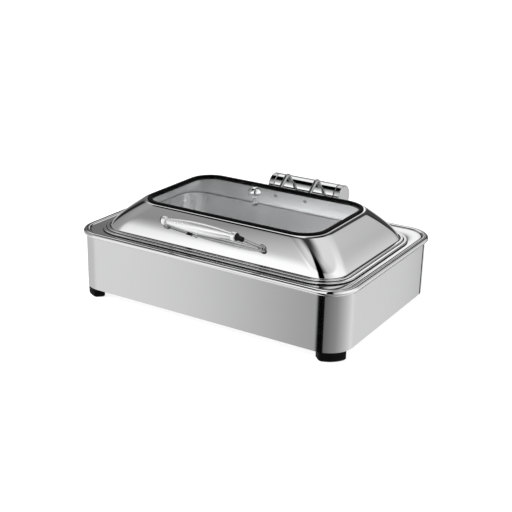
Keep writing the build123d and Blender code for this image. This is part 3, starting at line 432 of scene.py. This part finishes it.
# Heating under the water pan
# A bent tubular element clipped to the pan's floor, its cut-out, and the shield below it
# on spacers. Heat has browned the steel in patches.

def heat_tinted_steel():
    """Bare steel that heat has turned brown in patches."""
    material, tree, shader = start_material("heat_tinted_steel")
    shader.inputs["Metallic"].default_value = 1.0
    shader.inputs["Roughness"].default_value = 0.42
    place = add_node(tree, "ShaderNodeTexCoord")
    patches = add_node(tree, "ShaderNodeTexNoise", Scale=25.0, Detail=5.0)
    ramp = add_node(tree, "ShaderNodeValToRGB")
    browned, bare = ramp.color_ramp.elements
    browned.position, browned.color = 0.3, (0.24, 0.17, 0.11, 1.0)
    bare.position, bare.color = 0.7, (0.46, 0.44, 0.42, 1.0)
    tree.links.new(place.outputs["Object"], patches.inputs["Vector"])
    tree.links.new(patches.outputs["Fac"], ramp.inputs["Fac"])
    tree.links.new(ramp.outputs["Color"], shader.inputs["Base Color"])
    add_bump(tree, shader, patches.outputs["Fac"], 0.1, 0.0003)
    return material


finish_nodes(heat_tinted_steel(), "heating_element", "heat_shield", "thermal_cutout")
finish_nodes(plated_steel, "element_clips", "shield_spacers", "shield_screws", "bulb_clip")


# Controls on the rear wall
# A satin plate screwed over an opening in the casing carries a thermostat knob with a printed
# scale, a lamp, a rocker switch and the inlet, of black heat-proof plastic but for the lens.

black_plastic = moulded(
    "black_plastic", (0.012, 0.012, 0.013), (0.03, 0.03, 0.032), 0.33, 2400.0, 0.12
)
lamp_lens = moulded("lamp_lens", (0.55, 0.13, 0.01), (0.75, 0.24, 0.03), 0.08, 900.0, 0.05)
lamp_lens.node_tree.nodes["Principled BSDF"].inputs["Coat Weight"].default_value = 0.6
finish_nodes(satin_steel, "control_plate")
finish_nodes(black_plastic, "thermostat_knob", "thermostat_body", "power_inlet")
finish_nodes(black_plastic, "power_rocker", "switch_frame")
finish_nodes(lamp_lens, "pilot_lamp")
finish_nodes(plated_steel, "control_plate_screws", "inlet_screws", "thermostat_shaft")


def printed_marks(name, bars, face, material, body):
    """Painted bars with round ends on a face towards the rear, each turned about its middle."""
    points, faces, sides, film = [], [], 16, 0.00015
    for x, z, turn, length, width in bars:
        start = len(points)
        for depth in (face - film, face + film):
            for step in range(sides):
                angle = math.radians(360.0 * (step + 0.5) / sides)
                across, rise = width / 2 * math.cos(angle), math.sin(angle)
                along = width / 2 * rise + math.copysign((length - width) / 2, rise)
                points.append((
                    x - along * math.sin(turn) - across * math.cos(turn), depth,
                    z + along * math.cos(turn) - across * math.sin(turn),
                ))
        back = [start + step for step in range(sides)]
        front = [start + sides + step for step in range(sides)]
        faces += [back[::-1], front]
        for k in range(sides):
            after = (k + 1) % sides
            faces.append((back[k], back[after], front[after], front[k]))
    marks = new_piece(name, points, faces)
    marks.data.materials.append(material)
    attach(marks, body)


knob_low, knob_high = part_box("thermostat_knob")
plate_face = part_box("control_plate")[1].y
dial_x, dial_z = (knob_low.x + knob_high.x) / 2, (knob_low.z + knob_high.z) / 2
dial_radius = (knob_high.x - knob_low.x) / 2
mark_gap, short_mark, long_mark, mark_width, pointer_width = 0.002, 0.0035, 0.0055, 0.0009, 0.0014
scale_marks = []
for mark in range(10):
    turn, length = math.radians(30.0 * mark), short_mark if mark % 3 else long_mark
    reach = dial_radius + mark_gap + length / 2
    mark_x, mark_z = dial_x - reach * math.sin(turn), dial_z + reach * math.cos(turn)
    scale_marks.append((mark_x, mark_z, turn, length, mark_width))
pointer = (dial_x, dial_z + 0.62 * dial_radius, 0.0, 0.5 * dial_radius, pointer_width)
mark_black = moulded("mark_black", (0.01, 0.01, 0.01), (0.025, 0.025, 0.025), 0.5, 1500.0, 0.05)
mark_white = moulded("mark_white", (0.72, 0.72, 0.70), (0.82, 0.82, 0.80), 0.45, 1500.0, 0.05)
printed_marks("dial_scale", scale_marks, plate_face, mark_black, "base")
printed_marks("dial_pointer", [pointer], knob_high.y, mark_white, "thermostat_dial")


# Wiring inside the casing
# Silicone covered wires between the inlet, a nylon terminal block, the switch, the thermostat
# and the element, with a copper capillary to the thermostat's bulb.

wire_cover = moulded("wire_cover", (0.22, 0.03, 0.02), (0.34, 0.06, 0.04), 0.5, 1500.0, 0.1)
white_nylon = moulded("white_nylon", (0.62, 0.61, 0.57), (0.74, 0.73, 0.69), 0.4, 1500.0, 0.1)
copper = steel(
    "copper_tube", (0.60, 0.28, 0.15), (0.78, 0.42, 0.26), 0.25, 0.2, (200.0, 200.0, 200.0), 0.05
)
finish_nodes(wire_cover, "wiring")
finish_nodes(white_nylon, "terminal_block")
finish_nodes(copper, "thermostat_bulb", "inlet_pins")


# Hinge
# A chrome plated barrel turns between two fixed stands that are screwed to the deck. Inside it
# are a steel shaft, two nylon bushes and an oil damper.

chrome = steel(
    "chrome", (0.82, 0.825, 0.83), (0.88, 0.885, 0.89), 0.02, 0.02, (400.0, 12.0, 12.0), 0.003
)
stand_steel = steel(
    "stand_steel", (0.50, 0.50, 0.505), (0.58, 0.58, 0.585), 0.10, 0.04, (12.0, 400.0, 400.0), 0.01
)
finish_nodes(chrome, "hinge_barrel")
finish_nodes(stand_steel, "hinge_stand_left", "hinge_stand_right")
finish_nodes(plated_steel, "hinge_shaft", "damper_rotor", "hinge_stand_screws", "hinge_stand_nuts")
finish_nodes(white_nylon, "hinge_bush_left", "hinge_bush_right", "damper_housing")


# Lid shell
# One deep drawn dome of stainless steel, polished to a mirror outside and left satin inside.
# Its rings follow the stepped flange, the slope, the crown and the opening; the flange's folds are
# painted near black as painted shade.

lid_middle = -0.021067
lid_length, lid_width, lid_corner = 0.5058, 0.3035, 0.049
crown_length, crown_width, crown_corner = 0.396, 0.2386, 0.054
ledge_level, lid_foot, crown_level = 0.1333, 0.1355, 0.1899
lid_wall, slope_inset, crown_reach = 0.001, 0.0007, 0.0088


def flange_station(reach, z):
    """A ring parallel to the foot of the slope, reach outside it."""
    return lid_length + 2 * reach, lid_width + 2 * reach, lid_corner + reach, z


def crown_station(inset, z):
    """A ring parallel to the crown's edge, inset from it."""
    return crown_length - 2 * inset, crown_width - 2 * inset, crown_corner - inset, z


def slope_station(rise, inset=0.0):
    """A ring on the slope, which is steep at its foot and flattens towards the crown."""
    run = 0.0
    knots = ((0.0, 0.0), (0.25, 0.154), (0.5, 0.392), (0.75, 0.678), (1.0, 1.0))
    for knot, share in knots:
        for other, _ in knots:
            if other != knot:
                share *= (rise - other) / (knot - other)
        run += share
    z = lid_foot + (crown_level - lid_foot) * rise - (lid_wall if inset else 0.0)
    return (
        lid_length + (crown_length - lid_length) * run - 2 * inset,
        lid_width + (crown_width - lid_width) * run - 2 * inset,
        lid_corner + (crown_corner - lid_corner) * run - inset, z,
    )


def lid_stations():
    """Rings from the flange's edge up to the window's opening, and back down inside."""
    outside = [flange_station(0.0149, deck_level), flange_station(0.0150, deck_level + 0.0015)]
    outside += eased(
        flange_station(0.0156, deck_level + 0.0017), flange_station(0.0156, ledge_level),
        flange_station(0.0130, ledge_level),
    )
    folds = [0, 1, len(outside), len(outside) + 1, len(outside) + 2]
    outside += groove(flange_station(0.0092, ledge_level), flange_station(0.0082, ledge_level), 0.0006)
    outside += eased(
        flange_station(0.0080, ledge_level + 0.0011), flange_station(0.0080, lid_foot),
        flange_station(0.0062, lid_foot),
    )
    folds += [len(outside), len(outside) + 1]
    outside += groove(flange_station(0.0026, lid_foot), flange_station(0.0009, lid_foot), 0.0009)
    outside += eased(
        flange_station(0.0008, lid_foot), flange_station(0.0, lid_foot), slope_station(0.035), 3
    )
    outside += [slope_station(rise / 40) for rise in range(3, 38)]
    outside += eased(
        slope_station(0.945), crown_station(0.0, crown_level), crown_station(0.0028, crown_level), 8
    )
    outside += [crown_station(crown_reach, crown_level)]
    inside = [crown_station(crown_reach, crown_level - lid_wall)]
    inside += [slope_station(1.0 - rise / 20, slope_inset) for rise in range(21)]
    inside += [
        flange_station(0.0070, lid_foot - lid_wall), flange_station(0.0070, ledge_level - lid_wall),
        flange_station(0.0146, ledge_level - lid_wall), flange_station(0.0146, deck_level),
    ]
    return outside, inside, folds


lid_steel = steel(
    "lid_steel", (0.82, 0.82, 0.825), (0.88, 0.88, 0.885), 0.02, 0.02, (8.0, 8.0, 700.0), 0.001
)
lid_inside = steel(
    "lid_inside", (0.80, 0.80, 0.805), (0.87, 0.87, 0.875), 0.34, 0.08, (8.0, 8.0, 500.0), 0.01, 0.7
)
outside_rings, inside_rings, lid_shaded_folds = lid_stations()
lid_rings = outside_rings + inside_rings
lid_shell = ring_piece("lid_dome", [rounded_loop(*station) for station in lid_rings])
lid_shell.location = (0.0, lid_middle, 0.0)
lid_choice = [int(ring >= len(outside_rings)) for ring in range(len(lid_rings))]
# the flange's outer edge and its two grooves take the painted shade
for ring in lid_shaded_folds:
    lid_choice[ring] = 2
finish_rings(lid_shell, (lid_steel, lid_inside, painted_crease_shade), lid_choice)
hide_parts("lid_shell")
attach(lid_shell, "lid")
finish_nodes(lid_steel, "lid_shell")


# Window
# A clear toughened glass pane, held in the crown by a black rubber gasket with a lip above
# and below both edges.

def let_through(tree, shader, ray, color):
    """Let one kind of ray pass straight through a surface, tinted by a colour."""
    path = add_node(tree, "ShaderNodeLightPath")
    clear = add_node(tree, "ShaderNodeBsdfTransparent", Color=color)
    mix = add_node(tree, "ShaderNodeMixShader")
    tree.links.new(path.outputs[ray], mix.inputs["Fac"])
    tree.links.new(shader.outputs["BSDF"], mix.inputs[1])
    tree.links.new(clear.outputs["BSDF"], mix.inputs[2])
    tree.links.new(mix.outputs["Shader"], tree.nodes["Material Output"].inputs["Surface"])


def window_glass():
    """Clear glass with faint wiping smears, which lets the light through to the pans."""
    material, tree, shader = start_material("window_glass")
    shader.inputs["Transmission Weight"].default_value = 1.0
    shader.inputs["IOR"].default_value = 1.1
    place = add_node(tree, "ShaderNodeTexCoord")
    smears = add_node(tree, "ShaderNodeTexNoise", Scale=14.0, Detail=4.0, Distortion=1.5)
    haze = add_node(
        tree, "ShaderNodeMapRange", From_Min=0.55, From_Max=0.8, To_Min=0.0, To_Max=0.04
    )
    tree.links.new(place.outputs["Object"], smears.inputs["Vector"])
    tree.links.new(smears.outputs["Fac"], haze.inputs["Value"])
    tint = mixed_color(
        tree, smears.outputs["Fac"], (0.94, 0.95, 0.95, 1.0), (0.96, 0.97, 0.97, 1.0)
    )
    tree.links.new(haze.outputs["Result"], shader.inputs["Roughness"])
    tree.links.new(tint, shader.inputs["Base Color"])
    let_through(tree, shader, "Is Shadow Ray", (0.95, 0.95, 0.95, 1.0))
    return material


gasket_rubber = moulded(
    "gasket_rubber", (0.0005, 0.0005, 0.0005), (0.002, 0.002, 0.002), 0.4, 2200.0, 0.1, 0.05
)
finish_nodes(window_glass(), "window_glass")
finish_nodes(gasket_rubber, "window_gasket")


# Ball knob
# A turned steel ball on a short neck, chrome plated, with a screw through the glass and a
# grey silicone washer on each side of it.

washer_silicone = moulded(
    "washer_silicone", (0.26, 0.26, 0.26), (0.32, 0.32, 0.32), 0.4, 1500.0, 0.1
)
finish_nodes(chrome, "knob_ball")
finish_nodes(washer_silicone, "knob_washers")
finish_nodes(plated_steel, "knob_screw")


# Handle
# A turned spindle of satin steel between black ferrules. Two splayed chrome rods, their
# chrome darkened as painted shade, carry it, and bolts from inside the lid hold their eyelets.

ferrule_plastic = moulded(
    "ferrule_plastic", (0.002, 0.002, 0.002), (0.006, 0.006, 0.006), 0.3, 2400.0, 0.1, 0.2
)
# painted shade: a base colour far below real chrome, standing in for the dark surroundings the rods
# mirror
rod_chrome_painted_shade = steel(
    "rod_chrome_painted_shade", (0.37, 0.37, 0.375), (0.45, 0.45, 0.455), 0.03, 0.02, (400.0, 12.0, 12.0), 0.003
)
grip_steel = steel(
    "grip_steel", (0.80, 0.80, 0.805), (0.86, 0.86, 0.865), 0.24, 0.04, (12.0, 400.0, 400.0), 0.003,
    0.75
)
finish_nodes(grip_steel, "handle_grip")
finish_nodes(rod_chrome_painted_shade, "handle_leg_left", "handle_leg_right")
finish_nodes(ferrule_plastic, "handle_ferrule_left", "handle_ferrule_right")
finish_nodes(plated_steel, "handle_bolts")


# Lid arms
# Two bent chrome rods, darkened as painted shade like the handle's, that join the lid's rear
# slope to the hinge barrel, bolted through the slope from inside.

finish_nodes(rod_chrome_painted_shade, "lid_arm_left", "lid_arm_right")
finish_nodes(plated_steel, "arm_bolts")


# Studio
# A white floor with the object's shadow, inside a ring of soft boxes and black flags that only
# the metal shows, and one soft lamp at the left front that lights the pans through the glass.

def ring_of_light(tree, azimuth, stops):
    """Light level round the compass: 0 degrees is ahead of the handle side, 90 is on the right."""
    ramp = tree.nodes.new("ShaderNodeValToRGB")
    elements = ramp.color_ramp.elements
    while len(elements) < len(stops):
        elements.new(0.5)
    for element, (angle, level) in zip(elements, stops):
        element.position = (angle + 180.0) / 360.0
        element.color = (level, level, level, 1.0)
    tree.links.new(azimuth, ramp.inputs["Fac"])
    return ramp.outputs["Color"]


def between_rings(tree, elevation, low, high, below, above):
    """Fade from one ring or level to the next between two elevations in degrees."""
    fade = add_node(tree, "ShaderNodeMapRange", From_Min=low, From_Max=high)
    fade.interpolation_type = "SMOOTHSTEP"
    tree.links.new(elevation, fade.inputs["Value"])
    return mixed_color(tree, fade.outputs["Result"], below, above)


def studio_world():
    """Rings of light for the metal, and plain white for the camera and through the glass."""
    world = bpy.data.worlds.new("studio")
    world.use_nodes = True
    tree = world.node_tree
    place = add_node(tree, "ShaderNodeTexCoord")
    axes = add_node(tree, "ShaderNodeSeparateXYZ")
    tree.links.new(place.outputs["Generated"], axes.inputs["Vector"])
    ahead = math_node(tree, "MULTIPLY", axes.outputs["Y"], -1.0)
    turn = math_node(tree, "ARCTAN2", axes.outputs["X"], ahead)
    compass = add_node(tree, "ShaderNodeMapRange", From_Min=-math.pi, From_Max=math.pi)
    tree.links.new(turn, compass.inputs["Value"])
    azimuth = compass.outputs["Result"]
    elevation = math_node(tree, "DEGREES", math_node(tree, "ARCSINE", axes.outputs["Z"]))
    floor_ring = ring_of_light(tree, azimuth, (
        (-180.0, 0.80), (-150.0, 0.80), (-115.0, 0.65), (-60.0, 0.78), (-44.0, 1.0), (-36.0, 0.90),
        (-28.0, 0.50), (-20.0, 0.38), (-16.5, 0.0), (7.0, 0.0), (10.0, 0.18), (60.0, 0.36),
        (100.0, 0.68), (135.0, 1.0), (158.8, 0.86), (160.2, 0.0), (170.0, 0.0), (174.0, 0.60),
        (180.0, 0.80),
    ))
    wall_ring = ring_of_light(tree, azimuth, (
        (-180.0, 0.06), (-168.0, 0.05), (-165.0, 0.05), (-162.0, 0.45), (-158.5, 0.60),
        (-157.5, 1.05), (-155.0, 1.05), (-153.5, 0.18), (-138.0, 0.18), (-124.0, 0.14),
        (-119.0, 0.02), (-110.0, 0.02), (-106.0, 0.30), (-60.0, 0.36), (-47.0, 0.58), (-40.0, 0.90),
        (-33.0, 1.15), (13.0, 1.15), (16.0, 0.0), (38.0, 0.0), (42.0, 0.55), (55.0, 0.80),
        (70.0, 1.05), (95.0, 1.12), (132.0, 1.05), (150.0, 0.70), (160.0, 0.53), (168.5, 0.53),
        (170.0, 0.02), (180.0, 0.06),
    ))
    upper_ring = ring_of_light(tree, azimuth, (
        (-180.0, 0.06), (-164.0, 0.15), (-158.0, 1.1), (-124.0, 1.0), (-116.0, 0.38), (-62.0, 0.36),
        (-45.0, 0.30), (-30.0, 0.78), (-18.0, 1.1), (13.0, 1.15), (16.0, 0.0), (38.0, 0.0),
        (42.0, 0.50), (54.0, 0.62), (68.0, 0.82), (95.0, 1.15), (130.0, 1.05), (162.0, 0.72),
        (168.5, 0.62), (171.0, 0.03), (180.0, 0.06),
    ))
    high_ring = ring_of_light(tree, azimuth, (
        (-180.0, 0.0), (-160.0, 0.30), (-152.0, 1.0), (-124.0, 1.0), (-117.0, 0.0), (-55.0, 0.0),
        (-45.0, 0.20), (-30.0, 0.50), (-15.0, 0.75), (0.0, 0.82), (11.0, 0.75), (15.0, 0.0),
        (40.0, 0.0), (55.0, 0.30), (70.0, 0.60), (110.0, 0.80), (152.0, 0.80), (163.0, 0.78),
        (167.0, 0.02), (180.0, 0.0),
    ))
    dark = (0.04, 0.04, 0.04, 1.0)
    low = between_rings(tree, elevation, -88.0, -76.0, dark, floor_ring)
    lower = between_rings(tree, elevation, -12.0, 6.0, low, wall_ring)
    middle = between_rings(tree, elevation, 22.0, 36.0, lower, upper_ring)
    upper = between_rings(tree, elevation, 44.0, 54.0, middle, high_ring)
    light = between_rings(tree, elevation, 70.0, 86.0, upper, dark)
    path = add_node(tree, "ShaderNodeLightPath").outputs
    seen = math_node(tree, "MAXIMUM", path["Is Camera Ray"], path["Is Transmission Ray"])
    shown = mixed_color(tree, seen, light, (1.0, 1.0, 1.0, 1.0))
    tree.links.new(shown, tree.nodes["Background"].inputs["Color"])
    return world


def studio_floor():
    """A white floor that takes the shadow and doesn't hide the rings from the metal."""
    half, level = 6.0, -0.0005
    corners = [(-half, -half, level), (half, -half, level), (half, half, level), (-half, half, level)]
    floor = new_piece("floor", corners, [(0, 1, 2, 3)])
    material, tree, shader = start_material("floor_white")
    shader.inputs["Base Color"].default_value = (0.5, 0.5, 0.5, 1.0)
    shader.inputs["Roughness"].default_value = 1.0
    shader.inputs["Specular IOR Level"].default_value = 0.0
    shader.inputs["Emission Color"].default_value = (1.0, 1.0, 1.0, 1.0)
    shader.inputs["Emission Strength"].default_value = 0.8
    let_through(tree, shader, "Is Glossy Ray", (1.0, 1.0, 1.0, 1.0))
    floor.data.materials.append(material)
    return floor


bpy.context.scene.world = studio_world()
studio_floor()

key_place, key_target = Vector((-1.24, -0.87, 0.95)), Vector((0.0, 0.0, 0.15))
key_light = bpy.data.lights.new("key_box", "AREA")
key_light.shape = "SQUARE"
key_light.size = 0.45
key_light.energy = 34.0
key_box = bpy.data.objects.new("key_box", key_light)
bpy.context.scene.collection.objects.link(key_box)
key_box.location = key_place
key_box.rotation_euler = (key_target - key_place).to_track_quat("-Z", "Y").to_euler()
key_box.visible_camera = False
key_box.visible_glossy = False


# Camera
# It stands to the front right and looks down on the object, as in the photograph.

camera_place = Vector((0.9601, -1.595867, 0.7778))
camera_right = Vector((0.85069597, 0.52519792, 0.02198905))
camera_up = Vector((-0.20281394, 0.28934311, 0.93549295))
camera_back = Vector((0.48495657, -0.80027977, 0.35266048))
camera_turn = Matrix((camera_right, camera_up, camera_back)).transposed().to_4x4()
lens = bpy.data.cameras.new("camera")
lens.sensor_width = 36.0
lens.lens = 71.54
camera = bpy.data.objects.new("camera", lens)
bpy.context.scene.collection.objects.link(camera)
camera.matrix_world = Matrix.Translation(camera_place) @ camera_turn
bpy.context.scene.camera = camera
bpy.context.scene.view_settings.view_transform = "Standard"
